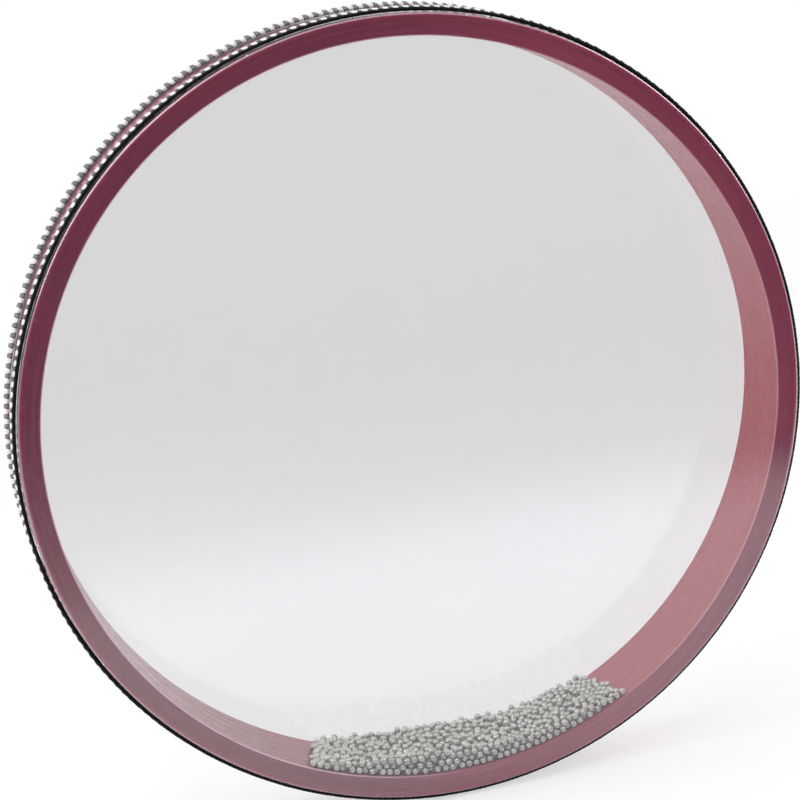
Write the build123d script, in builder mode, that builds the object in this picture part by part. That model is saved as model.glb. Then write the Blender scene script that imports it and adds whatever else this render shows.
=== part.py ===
from build123d import *
import os

import numpy as np

# An ocean drum: a bent wooden hoop closed by two clear film heads, with steel beads between them.
# The drum stands upright on its rim. Its axis lies along Y, the front head faces -Y, and Z is up.
# Lengths are in millimetres, and the lowest point of the drum is at the origin.

# Wooden hoop
hoop_radius = 200.0
hoop_wall = 11.3
hoop_depth = 50.0
hoop_inner_round = 0.8
hoop_outer_round = 1.5

# Clear film heads, folded over the hoop's edges and down its outer wall
film_thickness = 0.25
film_clearance = 0.15
film_skirt = 14.5

# Woven braid glued over the film's skirt
braid_width = 8.0
braid_height = 2.6
braid_edge_height = 1.5
braid_setback = 3.0
braid_clearance = 0.15
braid_flat = 0.3

# Staples that hold the skirt, in a channel under the braid
staple_count = 36
staple_crown = 10.0
staple_wire_width = 1.0
staple_wire_thickness = 0.5
staple_leg = 6.0
staple_clearance = 0.02
staple_channel_clearance = 0.5

# Steel beads in a heap at the lowest part of the hoop's inner wall
bead_diameter = 3.6
bead_gap = 0.12
bead_clearance = 0.3
heap_left_angle = 27.2
heap_right_angle = 29.0
heap_end_slant = 4.0
heap_height = 12.2
heap_angle_shares = (0.0, 0.03, 0.14, 0.24, 0.36, 0.50, 0.60, 0.68, 0.78, 0.90, 0.98, 1.0)
heap_height_shares = (0.00, 0.42, 0.66, 0.86, 1.00, 1.00, 0.86, 0.72, 0.62, 0.54, 0.40, 0.00)
heap_seed = 11
heap_drops = 4200
roll_directions = 12
roll_travel_share = 1.5
roll_steps = 40
last_step_share = 0.02
least_drop_share = 0.0005
forward_lean = 0.12
inward_lean = 0.03

half_depth = hoop_depth / 2
film_radius = hoop_radius + film_clearance
film_outer_radius = film_radius + film_thickness
braid_seat_radius = film_outer_radius + braid_clearance
rim_radius = braid_seat_radius + braid_height
axis_height = rim_radius - braid_flat
chamber_radius = hoop_radius - hoop_wall

drum_centre = Vector(0, 0, axis_height)
drum_axis = Axis(drum_centre, (0, 1, 0))
# Radius runs along X and depth along Y in this plane, and every ring is revolved from it.
section_plane = Plane(origin=drum_centre, x_dir=(1, 0, 0), z_dir=(0, 0, 1))


def finish(built, label):
    """Names a finished piece and writes it to its own file."""
    built.part.label = label
    export_step(built.part, f"parts/{label}.step")


def build_hoop():
    """The bent wooden hoop, with its four edges eased."""
    with BuildPart() as hoop:
        with BuildSketch(section_plane):
            with Locations((chamber_radius, 0)):
                Rectangle(hoop_wall, hoop_depth, align=(Align.MIN, Align.CENTER))
            fillet(vertices().group_by(Axis.X)[0], hoop_inner_round)
            fillet(vertices().group_by(Axis.X)[-1], hoop_outer_round)
        revolve(axis=drum_axis)
    return hoop


def build_head(side):
    """One film head: a flat disc that bends round the hoop's edge into a short skirt."""
    face = side * (half_depth + film_clearance)
    outside = side * (half_depth + film_clearance + film_thickness)
    inner_bend = hoop_outer_round + film_clearance
    bend_centre = (hoop_radius - hoop_outer_round, side * (half_depth - hoop_outer_round))
    bend_depth = bend_centre[1]
    skirt_end = side * (half_depth - film_skirt)
    halfway = Vector(1, side, 0).normalized()
    inner_middle = Vector(*bend_centre) + halfway * inner_bend
    outer_middle = Vector(*bend_centre) + halfway * (inner_bend + film_thickness)
    with BuildPart() as head:
        with BuildSketch(section_plane):
            with BuildLine():
                Line((0, outside), (0, face))
                Line((0, face), (bend_centre[0], face))
                ThreePointArc((bend_centre[0], face), inner_middle, (film_radius, bend_depth))
                Polyline(
                    (film_radius, bend_depth),
                    (film_radius, skirt_end),
                    (film_outer_radius, skirt_end),
                    (film_outer_radius, bend_depth),
                )
                ThreePointArc((film_outer_radius, bend_depth), outer_middle, (bend_centre[0], outside))
                Line((bend_centre[0], outside), (0, outside))
            make_face()
        revolve(axis=drum_axis)
    return head


def build_braid(side):
    """One ring of braid: a low hump with a channel beneath it that clears the staples.

    Where the drum stands on it, its yarns are pressed flat.
    """
    middle = side * (half_depth - braid_setback - braid_width / 2)
    front_edge = middle - braid_width / 2
    back_edge = middle + braid_width / 2
    shoulder = braid_seat_radius + braid_edge_height
    channel_depth = staple_clearance + staple_wire_thickness + staple_channel_clearance
    channel_width = staple_wire_width + 2 * staple_channel_clearance
    with BuildPart() as braid:
        with BuildSketch(section_plane):
            with BuildLine():
                Polyline(
                    (shoulder, back_edge),
                    (braid_seat_radius, back_edge),
                    (braid_seat_radius, front_edge),
                    (shoulder, front_edge),
                )
                ThreePointArc((shoulder, front_edge), (rim_radius, middle), (shoulder, back_edge))
            make_face()
            with Locations((film_outer_radius, middle)):
                Rectangle(
                    channel_depth,
                    channel_width,
                    align=(Align.MIN, Align.CENTER),
                    mode=Mode.SUBTRACT,
                )
        revolve(axis=drum_axis)
        split(bisect_by=Plane.XY, keep=Keep.TOP)
    return braid


def build_staples(side):
    """A ring of staples: each crown lies on the film and its two legs enter the hoop."""
    middle = side * (half_depth - braid_setback - braid_width / 2)
    seat = film_outer_radius + staple_clearance
    end = staple_crown / 2
    leg = end - staple_wire_thickness
    outline = [
        (staple_wire_thickness, end),
        (-staple_leg, end),
        (-staple_leg, leg),
        (0, leg),
        (0, -leg),
        (-staple_leg, -leg),
        (-staple_leg, -end),
        (staple_wire_thickness, -end),
    ]
    ring_plane = Plane(
        origin=drum_centre + Vector(0, middle, 0), x_dir=(1, 0, 0), z_dir=(0, -1, 0)
    )
    with BuildPart() as staples:
        with BuildSketch(ring_plane):
            with PolarLocations(seat, staple_count):
                Polygon(outline, align=None)
        extrude(amount=staple_wire_width / 2, both=True)
    return staples


def settle_beads():
    """Drops beads one by one, and lets each roll down until it rests on the wall or its neighbours.

    A bead is held as its angle from straight down, its depth behind the front head and its height
    above the bottom layer. Returns the centres in the drum's frame.
    """
    random = np.random.default_rng(heap_seed)
    reach = bead_diameter + bead_gap
    wall_radius = chamber_radius - bead_clearance - bead_diameter / 2
    depth_limit = half_depth + film_clearance - bead_clearance - bead_diameter / 2
    slant = np.radians(heap_end_slant) / (2 * half_depth)
    turns = np.linspace(0, 2 * np.pi, roll_directions, endpoint=False)
    compass = np.column_stack([np.cos(turns) / wall_radius, np.sin(turns)])
    travel = roll_travel_share * reach / wall_radius
    beads = np.empty((0, 3))

    def ends(depth):
        """The heap's two ends, which draw in towards the rear head."""
        drawn_in = slant * (depth + half_depth)
        return drawn_in - np.radians(heap_left_angle), np.radians(heap_right_angle) - drawn_in

    def top(spot):
        """How high the heap may stand at a spot."""
        left, right = ends(spot[1])
        share = np.interp((spot[0] - left) / (right - left), heap_angle_shares, heap_height_shares)
        return heap_height * share

    def heights(spots, near):
        """How high a bead comes to rest at each spot, over the beads near it."""
        arc = (spots[:, None, 0] - near[:, 0]) * (wall_radius - near[:, 2])
        gap = reach**2 - arc**2 - (spots[:, None, 1] - near[:, 1]) ** 2
        tops = near[:, 2] + np.sqrt(np.maximum(gap, 0))
        return np.max(np.where(gap > 0, tops, 0), axis=1, initial=0)

    def cost(spots, near):
        """What rolling lowers: the height, and a slight lean to the front head and the middle."""
        lean = forward_lean * spots[:, 1] + inward_lean * wall_radius * np.abs(spots[:, 0])
        return heights(spots, near) + lean

    for _ in range(heap_drops):
        depth = random.uniform(-depth_limit, depth_limit)
        start = random.uniform(*ends(depth))
        spot = np.array([start, depth])
        step = reach / 2
        near = beads[np.abs(beads[:, 0] - start) < 2 * travel + reach / wall_radius]
        level = cost(spot[None], near)[0]
        for _ in range(roll_steps):
            if step < last_step_share * reach:
                break
            spots = spot + step * compass
            spots[:, 0] = np.clip(spots[:, 0], start - travel, start + travel)
            spots[:, 1] = np.clip(spots[:, 1], -depth_limit, depth_limit)
            levels = cost(spots, near)
            best = levels.argmin()
            if levels[best] < level - least_drop_share * reach:
                spot, level = spots[best], levels[best]
            else:
                step = step / 2
        height = heights(spot[None], near)[0]
        if height + bead_diameter < top(spot):
            beads = np.vstack([beads, [*spot, height]])

    radius = wall_radius - beads[:, 2]
    across, down = radius * np.sin(beads[:, 0]), radius * np.cos(beads[:, 0])
    return np.column_stack([across, beads[:, 1], axis_height - down])


def build_beads():
    """The heap of loose steel beads."""
    centres = settle_beads()
    with BuildPart() as beads:
        with Locations(*[tuple(centre) for centre in centres.tolist()]):
            Sphere(bead_diameter / 2)
    print("beads", len(centres))
    return beads


os.makedirs("parts", exist_ok=True)
finish(build_hoop(), "frame_hoop")
for end, side in (("front", -1), ("rear", 1)):
    finish(build_head(side), f"{end}_head")
    finish(build_braid(side), f"{end}_braid")
    finish(build_staples(side), f"{end}_staples")
finish(build_beads(), "beads")
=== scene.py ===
import math
import random

import bmesh
import bpy
import numpy as np
from mathutils import Matrix, Vector, noise


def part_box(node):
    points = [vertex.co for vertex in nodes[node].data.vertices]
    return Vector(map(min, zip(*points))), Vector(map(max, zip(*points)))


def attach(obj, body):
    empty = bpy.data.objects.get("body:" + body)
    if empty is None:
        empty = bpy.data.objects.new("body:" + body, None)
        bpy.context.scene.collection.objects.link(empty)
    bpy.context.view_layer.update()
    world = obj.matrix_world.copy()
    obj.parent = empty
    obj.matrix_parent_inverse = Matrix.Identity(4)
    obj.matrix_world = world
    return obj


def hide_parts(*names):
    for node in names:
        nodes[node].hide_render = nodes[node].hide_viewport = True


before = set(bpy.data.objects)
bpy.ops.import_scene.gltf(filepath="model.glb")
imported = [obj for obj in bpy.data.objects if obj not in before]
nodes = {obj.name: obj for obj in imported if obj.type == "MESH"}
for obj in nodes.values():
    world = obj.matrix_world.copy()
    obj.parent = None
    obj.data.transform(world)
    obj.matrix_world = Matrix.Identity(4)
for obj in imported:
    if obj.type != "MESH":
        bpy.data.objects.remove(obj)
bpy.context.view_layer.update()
mm = 0.001

# Wooden hoop: a strip of wood bent into a ring, glued, sanded and sprayed burgundy. Painted shade
# makes the lacquer darker on the left and low down, painted light makes the inner wall lighter, a
# painted sheen makes the outer wall paler, a redder ring on each face is a painted reflection and
# the pale inner edges are a painted highlight. A dark band beside each braid is painted shade, and
# glue shows as smears under the film at the lower left.


class Shade:
    """A socket in a material's nodes. Sums on it add Math nodes, and node() adds any other node."""

    def __init__(self, tree, socket=None):
        self.tree = tree
        self.socket = socket

    def node(self, kind, settings=None, inputs=None, output=0):
        """Adds one node: its settings first, then the value or the link of each input."""
        made = self.tree.nodes.new("ShaderNode" + kind)
        for name, value in (settings or {}).items():
            setattr(made, name, value)
        for name, value in (inputs or {}).items():
            socket = made.inputs[name]
            if isinstance(value, Shade):
                self.tree.links.new(value.socket, socket)
            elif socket.type == "RGBA":
                socket.default_value = (*value, 1.0)
            else:
                socket.default_value = value
        return Shade(self.tree, made.outputs[output] if made.outputs else None)

    def output(self, name):
        """Another output of the same node."""
        return Shade(self.tree, self.socket.node.outputs[name])

    def math(self, operation, *values):
        """One Math node on these values, which name this socket where they need it."""
        return self.node("Math", {"operation": operation}, dict(enumerate(values)))

    def ramp(self, start, end, low=0.0, high=1.0):
        """Goes smoothly from low to high while this socket goes from start to end."""
        return self.node(
            "MapRange",
            {"interpolation_type": "SMOOTHSTEP"},
            {"Value": self, "From Min": start, "From Max": end, "To Min": low, "To Max": high},
        )

    def band(self, start, full, fading, end):
        """Rises from 0 at start to 1 at full, and falls from 1 at fading to 0 at end."""
        return self.ramp(start, full) * (1 - self.ramp(fading, end))

    def mix(self, first, second):
        """The first colour where this socket is 0 and the second where it is 1."""
        return self.node("Mix", {"data_type": "RGBA"}, {0: self, 6: first, 7: second}, output=2)

    def __add__(self, other):
        return self.math("ADD", self, other)

    def __sub__(self, other):
        return self.math("SUBTRACT", self, other)

    def __mul__(self, other):
        return self.math("MULTIPLY", self, other)

    def __pow__(self, other):
        return self.math("POWER", self, other)

    def __rsub__(self, other):
        return self.math("SUBTRACT", other, self)

    def __abs__(self):
        return self.math("ABSOLUTE", self)

    __radd__ = __add__
    __rmul__ = __mul__


def new_material(name):
    """An empty node material and the Shade that its nodes start from."""
    material = bpy.data.materials.new(name)
    material.use_nodes = True
    material.node_tree.nodes.clear()
    return material, Shade(material.node_tree)


def give_surface(shade, surface):
    """Ends a material's nodes in this surface."""
    shade.node("OutputMaterial", inputs={"Surface": surface})


def dress(piece, *materials):
    """Puts these materials in the piece's slots, in place of any that it came with."""
    # Clearing also puts every face back in the first slot, so a new piece isn't cleared.
    if piece.data.materials:
        piece.data.materials.clear()
    for material in materials:
        piece.data.materials.append(material)


hoop_wall = 11.3 * mm
hoop_outer_round = 1.5 * mm
hoop_low, hoop_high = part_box("frame_hoop")
axis_height = (hoop_low.z + hoop_high.z) / 2
hoop_radius = (hoop_high.x - hoop_low.x) / 2
hoop_half_depth = (hoop_high.y - hoop_low.y) / 2
hoop_inner_radius = hoop_radius - hoop_wall


def round_the_drum(shade):
    """The place on the drum, its x, y and height over the axis, its radius and its clock angle."""
    place = shade.node("TexCoord", output="Object")
    x = shade.node("SeparateXYZ", inputs={0: place})
    y = x.output("Y")
    rise = x.output("Z") - axis_height
    radius = (x * x + rise * rise) ** 0.5
    angle = rise.math("ARCTAN2", rise, x)
    return place, x, y, rise, radius, angle


lacquer, shade = new_material("burgundy_lacquer")
place, x, y, rise, radius, angle = round_the_drum(shade)
off_middle = abs(y)

# Wood grain that follows the bend, in waves a metre, and slow clouds in the lacquer
grain_along, grain_across = 18, 700
along_the_bend = shade.node(
    "CombineXYZ", inputs={0: x * grain_along, 1: (radius + y) * grain_across, 2: rise * grain_along}
)
grain = shade.node("TexNoise", inputs={"Vector": along_the_bend, "Scale": 1.0, "Detail": 4.0})
cloud = shade.node("TexNoise", inputs={"Vector": place, "Scale": 16.0, "Detail": 3.0})
peel = shade.node("TexNoise", inputs={"Vector": place, "Scale": 520.0, "Detail": 2.0})
patches = (cloud * 0.6 + grain * 0.4).ramp(0.32, 0.68)
colour = patches.mix((0.33, 0.042, 0.076), (0.40, 0.054, 0.094))

# The inner wall is painted lighter and redder, as painted light from the bright room behind the drum.
inner_wall_fade = (hoop_inner_radius + 0.1 * mm, hoop_inner_radius + 0.5 * mm)
inner_wall = 1 - radius.ramp(*inner_wall_fade)
colour = inner_wall.mix(colour, (0.47, 0.060, 0.072))
# Painted shade: the whole hoop is painted darker towards the left and low down.
left_side = (rise * 0.17 - x * 0.98).ramp(-60 * mm, 60 * mm)
low_down = 1 - rise.ramp(-160 * mm, 0.0)
colour = (left_side * 0.36 + low_down * 0.14).mix(colour, (0.06, 0.002, 0.006))

# The outer wall is painted paler, as a painted sheen of the room on its lacquer, and dark out from
# 13.4 mm off its middle line, as painted shade beside and under the skirt and braid.
outer_wall_fade = (hoop_radius - 0.3 * mm, hoop_radius - 0.1 * mm)
outer_wall = radius.ramp(*outer_wall_fade)
painted_sheen = cloud.ramp(0.35, 0.65).mix((0.50, 0.16, 0.20), (0.60, 0.22, 0.27))
colour = outer_wall.mix(colour, painted_sheen)
# Painted shade: a dark band on the outer wall beside each braid and under it.
braid_shade_fade = (13.0 * mm, 13.8 * mm)
braid_shade = off_middle.ramp(*braid_shade_fade) * outer_wall
colour = (braid_shade * 0.85).mix(colour, (0.10, 0.008, 0.020))

# Each face has a dark ring near its outer edge, and outside it a redder ring that is a painted
# reflection of the film's bend.
face_fade = (hoop_half_depth - 0.5 * mm, hoop_half_depth - 0.1 * mm)
on_face = off_middle.ramp(*face_fade)
dark_ring_band = (194.8 * mm, 196.6 * mm, 196.6 * mm, 198.6 * mm)
dark_ring = radius.band(*dark_ring_band) * on_face
colour = (dark_ring * 0.45).mix(colour, (0.25, 0.028, 0.042))
painted_reflection_ring_fade = (197.2 * mm, 199.2 * mm)
painted_reflection_ring = radius.ramp(*painted_reflection_ring_fade) * on_face
colour = (painted_reflection_ring * 0.7).mix(colour, (0.46, 0.036, 0.090))

# The inner edges are painted pale, most at the left and the right, as a painted highlight on their
# rounding.
inner_edge_fade = (hoop_inner_radius + 0.3 * mm, hoop_inner_radius + 0.8 * mm)
edge_depth_fade = (hoop_half_depth - 1.0 * mm, hoop_half_depth - 0.6 * mm)
pale_edge_highlight = (1 - radius.ramp(*inner_edge_fade)) * off_middle.ramp(*edge_depth_fade)
right_side = x.ramp(60 * mm, 140 * mm)
colour = (pale_edge_highlight * (left_side * 0.9 + right_side * 0.55)).mix(colour, (0.88, 0.56, 0.63))

# Smears of glue under the film, at the lower left
smear_angles = (math.radians(-146), math.radians(-143), math.radians(-136), math.radians(-132))
smear_band = (194.5 * mm, 195.5 * mm, 196.5 * mm, 197.5 * mm)
streaks = shade.node("TexNoise", inputs={"Vector": along_the_bend, "Scale": 2.2, "Detail": 2.0})
smear = streaks.ramp(0.54, 0.62) * angle.band(*smear_angles) * radius.band(*smear_band) * on_face
colour = (smear * 0.7).mix(colour, (0.20, 0.020, 0.034))

relief = shade.node(
    "Bump", inputs={"Strength": 0.12, "Distance": 0.1 * mm, "Height": peel * 0.6 + grain * 0.1}
)
give_surface(
    shade,
    shade.node(
        "BsdfPrincipled",
        inputs={
            "Base Color": colour,
            "Roughness": grain.ramp(0.3, 0.7, 0.20, 0.30),
            "Specular IOR Level": 0.35,
            "Coat Weight": 0.35 - inner_wall * 0.28 + outer_wall * 0.65,
            "Coat Roughness": 0.10,
            "Normal": relief,
        },
    ),
)
dress(nodes["frame_hoop"], lacquer)

# Film heads: two discs of clear polyester film, heated and pulled tight over the hoop, so that
# each bends round the edge into a short skirt. The film mirrors a little of the room, most at
# its bend, and has faint clouds, fine rubbing and a few white nicks along the bend.
ends = (("front", -1), ("rear", 1))
film_low, film_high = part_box("rear_head")
film_thickness = 0.25 * mm
film_radius = film_high.x
film_face = film_high.y
skirt_end = film_low.y
bend_radius = film_radius - (hoop_radius - hoop_outer_round)
bend_steps = 8
film_steps = 360


def spin_round_the_drum(shell, outline, steps):
    """Spins an outline a full turn about the drum's axis."""
    bmesh.ops.spin(
        shell,
        geom=outline,
        cent=(0, 0, axis_height),
        axis=(0, 1, 0),
        angle=2 * math.pi,
        steps=steps,
        use_merge=True,
    )


def make_piece(name, shell):
    """Puts a finished bmesh in the scene as one object."""
    mesh = bpy.data.meshes.new(name)
    shell.to_mesh(mesh)
    shell.free()
    piece = bpy.data.objects.new(name, mesh)
    bpy.context.scene.collection.objects.link(piece)
    return piece


def film_head(name, side):
    """One head, a thin closed shell: the flat disc, the bend round the hoop's edge and the skirt."""
    bend_starts = film_radius - bend_radius
    bend_depth = film_face - bend_radius
    flat_ends = bend_starts - 0.5 * mm
    outline = []
    for inward in (0, film_thickness):
        bend = bend_radius - inward
        layer = [(0, film_face - inward), (flat_ends, film_face - inward)]
        for step in range(bend_steps + 1):
            turn = math.pi / 2 * step / bend_steps
            layer.append((bend_starts + bend * math.sin(turn), bend_depth + bend * math.cos(turn)))
        layer.append((film_radius - inward, skirt_end))
        outline.append(layer)
    outside, inside = outline
    shell = bmesh.new()
    corners = [
        shell.verts.new((reach, side * depth, axis_height)) for reach, depth in outside + inside[::-1]
    ]
    edges = [shell.edges.new(pair) for pair in zip(corners, corners[1:])]
    spin_round_the_drum(shell, corners + edges, film_steps)
    bmesh.ops.remove_doubles(shell, verts=shell.verts, dist=0.001 * mm)
    bmesh.ops.recalc_face_normals(shell, faces=shell.faces)
    for face in shell.faces:
        face.smooth = True
    return make_piece(name, shell)


film, shade = new_material("clear_film")
place, _, _, _, radius, angle = round_the_drum(shade)
cloud = shade.node("TexNoise", inputs={"Vector": place, "Scale": 5.0, "Detail": 2.0})
rubbing = shade.node("TexNoise", inputs={"Vector": place, "Scale": 260.0, "Detail": 5.0})

# Where the film bends, and where its skirt starts, as radii
bend_band = (198.8 * mm, 199.3 * mm, 199.5 * mm, 200.0 * mm)
skirt_fade = (199.9 * mm, 200.1 * mm)
bend = radius.band(*bend_band)
skirt = radius.ramp(*skirt_fade)

# White nicks along the bend: each is whole to 0.2 mm off its clock angle, and gone at 0.9 mm.
nick_angles = (-167.0, -172.0, 174.0, 115.7, 107.4, 75.4, 72.4, 31.4, -42.0, -101.0, -152.0)
nick_core, nick_end = 0.2 * mm, 0.9 * mm
nick_fade = (199.2 * mm, 199.7 * mm)
nicks = None
for nick_angle in nick_angles:
    along_the_rim = abs((angle - math.radians(nick_angle)) * hoop_radius)
    nick = 1 - along_the_rim.ramp(nick_core, nick_end)
    nicks = nick.math("MAXIMUM", nicks, nick) if nicks else nick
nicks = nicks * radius.ramp(*nick_fade) * (1 - skirt) * rubbing.ramp(0.42, 0.55)

tint = cloud.ramp(0.35, 0.65).mix((0.62, 0.64, 0.66), (0.63, 0.62, 0.69))
clear_share = 0.105 - skirt * 0.09 + bend * 0.14 + rubbing.ramp(0.60, 0.80) * 0.02
give_surface(
    shade,
    shade.node(
        "BsdfPrincipled",
        inputs={
            "Base Color": nicks.mix(bend.mix(tint, (0.90, 0.74, 0.80)), (0.95, 0.93, 0.92)),
            "Metallic": 0.9,
            "Roughness": rubbing.ramp(0.3, 0.8, 0.05, 0.16) + bend * 0.25,
            "Alpha": nicks.math("MAXIMUM", nicks * 0.9, clear_share),
        },
    ),
)
for end, side in ends:
    head = film_head(f"{end}_film", side)
    dress(head, film)
    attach(head, "drum")
    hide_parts(f"{end}_head")

# Staples: 36 a side, of galvanised wire, driven through the film's skirt into the hoop's outer
# wall. The braid covers their crowns.
wire, shade = new_material("galvanised_wire")
place = shade.node("TexCoord", output="Object")
spangle = shade.node("TexVoronoi", inputs={"Vector": place, "Scale": 1400.0})
tone = spangle.ramp(0.1, 0.7)
give_surface(
    shade,
    shade.node(
        "BsdfPrincipled",
        inputs={
            "Base Color": tone.mix((0.50, 0.51, 0.52), (0.66, 0.67, 0.68)),
            "Metallic": 1.0,
            "Roughness": tone.ramp(0.0, 1.0, 0.28, 0.42),
        },
    ),
)
for name in ("front_staples", "rear_staples"):
    dress(nodes[name], wire)

# Braid: a cord trim 8 mm wide, glued over each skirt. A black corded selvage runs along its outer
# side and a thin dark cord along its inner side. Between them, bundles of yarn lie across it on a
# slant, white and grey in turn, 248 of each to a ring.
repeats = 248
braid_width = 8.0 * mm
braid_crest = 2.6 * mm
braid_edge = 1.5 * mm
braid_setback = 3.0 * mm
braid_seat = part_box("front_braid")[1].x - braid_crest
pitch = 2 * math.pi * braid_seat / repeats
crown = braid_crest - braid_edge
dome_radius = ((braid_width / 2) ** 2 + crown**2) / (2 * crown)

# Each bundle's place along the braid and its length, in pitches, its near and far edges in mm from
# the middle line, with the drum's edge on the minus side, its share of the dome's height and its yarn
white, grey, black = 0, 1, 2
bundles = (
    (0.25, 0.58, -3.2, 3.80, 1.00, white),
    (0.75, 0.46, -3.1, 3.80, 0.95, grey),
    (0.12, 0.50, -4.0, -2.9, 1.00, black),
    (0.62, 0.50, -4.0, -2.9, 1.00, black),
    (0.12, 0.50, 3.60, 4.00, 0.14, black),
    (0.62, 0.50, 3.60, 4.00, 0.14, black),
)
bundle_slant = 0.22
bundle_rounding = 0.18
bundle_tuck = 0.18
least_height = 0.05 * mm
yarn_waves, yarn_wander = 310, 0.10 * mm
noise.seed_set(3)

# The section of the black core under the bundles: distance from the middle line and height, in mm
core_section = ((-3.7, 0.02), (-3.7, 1.2), (-2.2, 1.8), (0, 2.2), (2.2, 1.8), (3.7, 1.2), (3.7, 0.02))

thread_width = 0.42 * mm
thread_slant = 260
thread_waver = 0.8
shaded_side_fade = (17.0 * mm, 21.5 * mm)


def yarn(name, colour_low, colour_high, edge_shade=0.0):
    """Spun yarn: fine threads laid across the braid, a little fuzzy, with grooves painted darker as
    painted shade.

    The last argument is how much darker the yarn is painted beside the selvage, as painted shade.
    """
    material, shade = new_material(name)
    place, _, y, _, _, angle = round_the_drum(shade)
    twist = shade.node("TexNoise", inputs={"Vector": place, "Scale": 900.0, "Detail": 3.0})
    threads = angle * (braid_seat / thread_width) + y * thread_slant + twist * thread_waver
    turns = threads * (2 * math.pi)
    strand = turns.math("SINE", turns) * 0.5 + 0.5
    fuzz = shade.node("TexNoise", inputs={"Vector": place, "Scale": 3200.0, "Detail": 2.0})
    relief = shade.node(
        "Bump",
        inputs={"Strength": 0.55, "Distance": 0.12 * mm, "Height": strand * 0.7 + fuzz * 0.5},
    )
    # Painted shade: the grey yarn is painted darker beside the selvage.
    shaded_side = abs(y).ramp(*shaded_side_fade)
    # Painted shade: the colour is darker in the grooves between the threads.
    tone = (strand * 0.6 + twist * 0.4).ramp(0.15, 0.75) * (1 - shaded_side * edge_shade)
    give_surface(
        shade,
        shade.node(
            "BsdfPrincipled",
            inputs={
                "Base Color": tone.mix(colour_low, colour_high),
                "Roughness": fuzz.ramp(0.3, 0.7, 0.62, 0.85),
                "Specular IOR Level": 0.15,
                "Normal": relief,
            },
        ),
    )
    return material


white_yarn = yarn("white_yarn", (0.80, 0.80, 0.79), (0.95, 0.95, 0.94))
grey_yarn = yarn("grey_yarn", (0.020, 0.028, 0.025), (0.40, 0.41, 0.40), 0.85)
black_yarn = yarn("black_yarn", (0.004, 0.004, 0.004), (0.018, 0.016, 0.017))


def dome(across):
    """The braid's height over its seat, at this distance from its middle line."""
    return braid_crest - dome_radius + math.sqrt(dome_radius**2 - min(abs(across), braid_width / 2) ** 2)


def lies_across(edge, least):
    """Whether an edge of the unit cube runs across the braid, over more than this distance."""
    return abs(edge.verts[0].co.y - edge.verts[1].co.y) > least


def add_to(whole, part):
    """Moves everything in one bmesh into another."""
    carrier = bpy.data.meshes.new("carrier")
    part.to_mesh(carrier)
    part.free()
    whole.from_mesh(carrier)
    bpy.data.meshes.remove(carrier)


def braid_ring(name, side):
    """One ring of braid: side is -1 for the front and 1 for the rear.

    The rear ring is the same braid turned end for end, so both show the same slant from outside.
    """
    weave = bmesh.new()
    middle_line = side * (hoop_half_depth - braid_setback - braid_width / 2)
    for along, length, near, far, share, slot in bundles:
        bundle = bmesh.new()
        bmesh.ops.create_cube(bundle, size=1.0)
        bmesh.ops.subdivide_edges(
            bundle, edges=[edge for edge in bundle.edges if lies_across(edge, 0.5)], cuts=2
        )
        bmesh.ops.bevel(
            bundle,
            geom=[edge for edge in bundle.edges if lies_across(edge, 0.1)],
            offset=bundle_rounding,
            segments=2,
            profile=0.5,
            material=-1,
            affect="EDGES",
        )
        for vert in bundle.verts:
            share_across = vert.co.y + 0.5
            across = (near + (far - near) * share_across) * mm
            tuck = 1 - bundle_tuck * abs(2 * vert.co.y) ** 4
            height = dome(across) * share * (0.5 + vert.co.z * tuck)
            lean = 0 if slot == black else side * bundle_slant * (share_across - 0.5)
            turn = (along + lean + vert.co.x * length * tuck) * pitch / braid_seat
            reach = braid_seat + max(height, least_height)
            vert.co = Vector(
                (
                    reach * math.sin(turn),
                    middle_line - side * across,
                    axis_height + reach * math.cos(turn),
                )
            )
        for face in bundle.faces:
            face.material_index = slot
            face.smooth = True
        add_to(weave, bundle)
    bmesh.ops.spin(
        weave,
        geom=weave.verts[:] + weave.edges[:] + weave.faces[:],
        cent=(0, 0, axis_height),
        axis=(0, 1, 0),
        angle=2 * math.pi * (repeats - 1) / repeats,
        steps=repeats - 1,
        use_duplicate=True,
    )
    # The yarns wander a little, and are pressed flat where the drum stands on them.
    for vert in weave.verts:
        vert.co += noise.noise_vector(vert.co * yarn_waves) * yarn_wander
        vert.co.z = max(vert.co.z, 0)
    core = bmesh.new()
    corners = [
        core.verts.new((0, middle_line + across * mm, axis_height + braid_seat + height * mm))
        for across, height in core_section
    ]
    edges = [core.edges.new(pair) for pair in zip(corners, corners[1:] + corners[:1])]
    spin_round_the_drum(core, corners + edges, repeats)
    for face in core.faces:
        face.material_index = black
    add_to(weave, core)
    bmesh.ops.recalc_face_normals(weave, faces=weave.faces)
    ring = make_piece(name, weave)
    dress(ring, white_yarn, grey_yarn, black_yarn)
    return ring


for end, side in ends:
    piece = braid_ring(f"{end}_braid_woven", side)
    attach(piece, "drum")
    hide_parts(f"{end}_braid")

# Beads: about 1,250 loose balls of satin steel shot, 3.6 mm across, run down into a heap at the
# lowest part of the hoop. Each has its own slight tone from the tumbling barrel.
bead_radius = 1.8 * mm
# A ball's flat faces lie inside its radius, so it is made a little larger.
ball_radius = bead_radius * 1.01
points_a_bead = 457
cad_beads = nodes["beads"].data
points = np.empty(len(cad_beads.vertices) * 3)
cad_beads.vertices.foreach_get("co", points)
points = points.reshape(-1, points_a_bead, 3)
centres = (points.max(axis=1) + points.min(axis=1)) / 2

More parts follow.
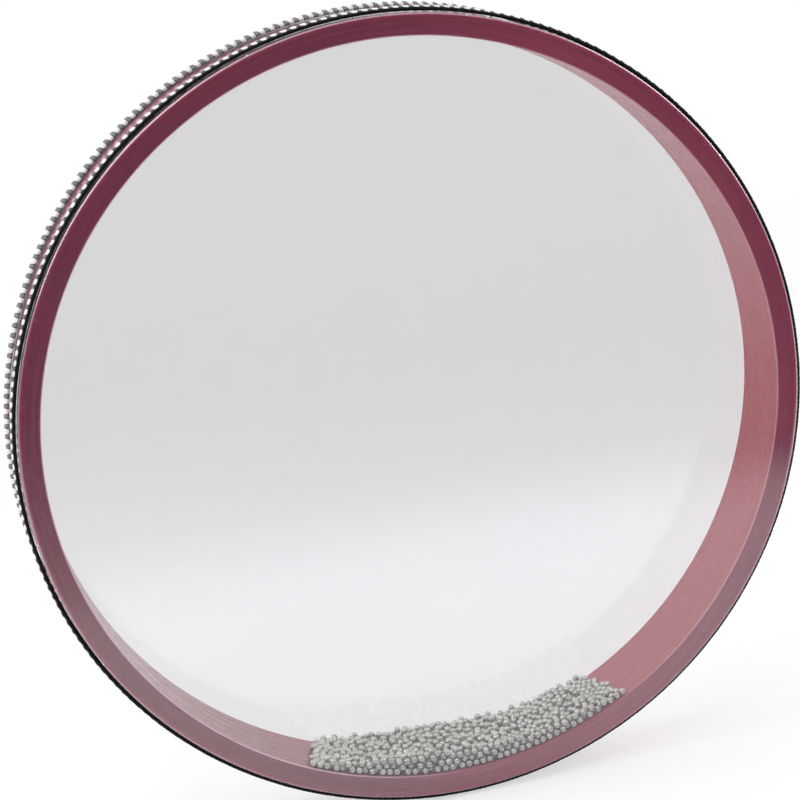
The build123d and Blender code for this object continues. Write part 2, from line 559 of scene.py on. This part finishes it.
ball = bmesh.new()
bmesh.ops.create_icosphere(ball, subdivisions=2, radius=ball_radius)
for face in ball.faces:
    face.smooth = True
ball_mesh = bpy.data.meshes.new("ball")
ball.to_mesh(ball_mesh)
ball.free()
ball_mesh.attributes.new("bead_tone", "FLOAT", "POINT")
heap = bmesh.new()
random.seed(7)
for centre in centres.tolist():
    tone = [random.random()] * len(ball_mesh.vertices)
    ball_mesh.attributes["bead_tone"].data.foreach_set("value", tone)
    ball_mesh.transform(Matrix.Translation(centre))
    heap.from_mesh(ball_mesh)
    ball_mesh.transform(Matrix.Translation(centre).inverted())
bpy.data.meshes.remove(ball_mesh)
bead_heap = make_piece("bead_heap", heap)

steel, shade = new_material("satin_steel")
place = shade.node("TexCoord", output="Object")
tone = shade.node("Attribute", {"attribute_name": "bead_tone"}, output="Fac")
haze = shade.node("TexNoise", inputs={"Vector": place, "Scale": 700.0, "Detail": 2.0})
give_surface(
    shade,
    shade.node(
        "BsdfPrincipled",
        inputs={
            "Base Color": (tone * 0.7 + haze * 0.3).mix((0.48, 0.49, 0.43), (0.72, 0.72, 0.66)),
            "Metallic": 0.8,
            "Roughness": (haze * 0.6 + tone * 0.4).ramp(0.2, 0.8, 0.22, 0.34),
        },
    ),
)
dress(bead_heap, steel)
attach(bead_heap, "bead_heap")
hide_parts("beads")

# Camera: in front of the drum, above it and to its left, rolled so that the heap of beads lies
# a little right of the bottom of the picture.
camera_direction = Vector((-0.1960, -0.9516, 0.2367))
camera_distance = 1.3342
camera_roll = math.radians(8)
camera_data = bpy.data.cameras.new("camera")
camera_data.sensor_width = 36.0
camera_data.lens = 120.276
camera_data.shift_x = -0.0264
camera_data.shift_y = 0.0207
camera_data.clip_start = 0.01
camera = bpy.data.objects.new("camera", camera_data)
bpy.context.scene.collection.objects.link(camera)
middle_of_front = Vector((0, -hoop_half_depth, axis_height))
toward_camera = camera_direction.normalized()
leaning_up = Vector((math.sin(camera_roll), 0, math.cos(camera_roll)))
right = leaning_up.cross(toward_camera).normalized()
up = toward_camera.cross(right)
turned = Matrix((right, up, toward_camera)).transposed().to_4x4()
camera.matrix_world = Matrix.Translation(middle_of_front + toward_camera * camera_distance) @ turned
bpy.context.scene.camera = camera

# Table: a pale table top that fades out at its edges. It is white to the camera, apart from the
# drum's shadow.
table_half_width, table_half_length = 1.6, 1.2
table_middle = (0, 0.66, -0.2 * mm)
table = bmesh.new()
bmesh.ops.create_grid(table, x_segments=1, y_segments=1, size=1.0)
bmesh.ops.scale(table, vec=(table_half_width, table_half_length, 1.0), verts=table.verts)
bmesh.ops.translate(table, vec=table_middle, verts=table.verts)
table_top = make_piece("table_top", table)

pale, shade = new_material("pale_table")
place = shade.node("TexCoord", output="Object")
x = shade.node("SeparateXYZ", inputs={0: place})
y = x.output("Y")
front_to_back_band = (-0.60, -0.40, 0.3, 1.75)
side_fade = (0.9, 1.5)
inside = y.band(*front_to_back_band) * (1 - abs(x).ramp(*side_fade))
seen = shade.node("LightPath", output="Is Camera Ray")
top = shade.node("BsdfDiffuse", inputs={"Color": (0.90, 0.90, 0.90)})
glow = shade.node("Emission", inputs={"Color": (1.0, 1.0, 1.0), "Strength": 1.0})
lifted = shade.node("MixShader", inputs={0: seen * (1 - inside * 0.40), 1: top, 2: glow})
clear = shade.node("BsdfTransparent")
there = inside.math("MAXIMUM", inside, seen)
give_surface(shade, shade.node("MixShader", inputs={0: there, 1: clear, 2: lifted}))
dress(table_top, pale)

# Light: a white room, darker on the camera's side between the table and head height, two soft
# boxes high at the left and the right, and a small lamp over the camera's left for the beads.
white_room = (0.95, 0.95, 0.97)
dark_side = (0.08, 0.075, 0.13)
world = bpy.data.worlds.new("studio")
bpy.context.scene.world = world
world.use_nodes = True
world.node_tree.nodes.clear()
shade = Shade(world.node_tree)
ray = shade.node("TexCoord", output="Generated")
x = shade.node("SeparateXYZ", inputs={0: ray})
y = x.output("Y")
z = x.output("Z")
towards_the_front = (-1 * y).ramp(0.05, 0.45)
under_head_height = 1 - z.ramp(0.30, 0.75)
over_the_table = (z + x * 0.15).ramp(-0.32, -0.20)
room = (towards_the_front * under_head_height * over_the_table).mix(white_room, dark_side)
seen = shade.node("LightPath", output="Is Camera Ray")
shade.node(
    "OutputWorld",
    inputs={"Surface": shade.node("Background", inputs={"Color": seen.mix(room, (1.0, 1.0, 1.0))})},
)


def soft_box(name, direction, distance, width, height, power):
    """A soft lamp that faces the middle of the drum."""
    data = bpy.data.lights.new(name, "AREA")
    data.shape = "RECTANGLE"
    data.size = width
    data.size_y = height
    data.energy = power
    lamp = bpy.data.objects.new(name, data)
    bpy.context.scene.collection.objects.link(lamp)
    toward = Vector(direction).normalized()
    lamp.location = Vector((0, 0, axis_height)) + toward * distance
    lamp.rotation_mode = "QUATERNION"
    lamp.rotation_quaternion = toward.to_track_quat("Z", "Y")
    lamp.visible_camera = False


soft_box("left_soft_box", (-0.78, -0.05, 0.62), 1.5, 0.7, 0.9, 7.0)
soft_box("right_soft_box", (0.90, -0.02, 0.44), 1.5, 0.7, 0.9, 7.0)
soft_box("bead_lamp", (-0.45, -0.75, 0.85), 1.6, 0.20, 0.20, 2.6)

bpy.context.scene.view_settings.view_transform = "Standard"
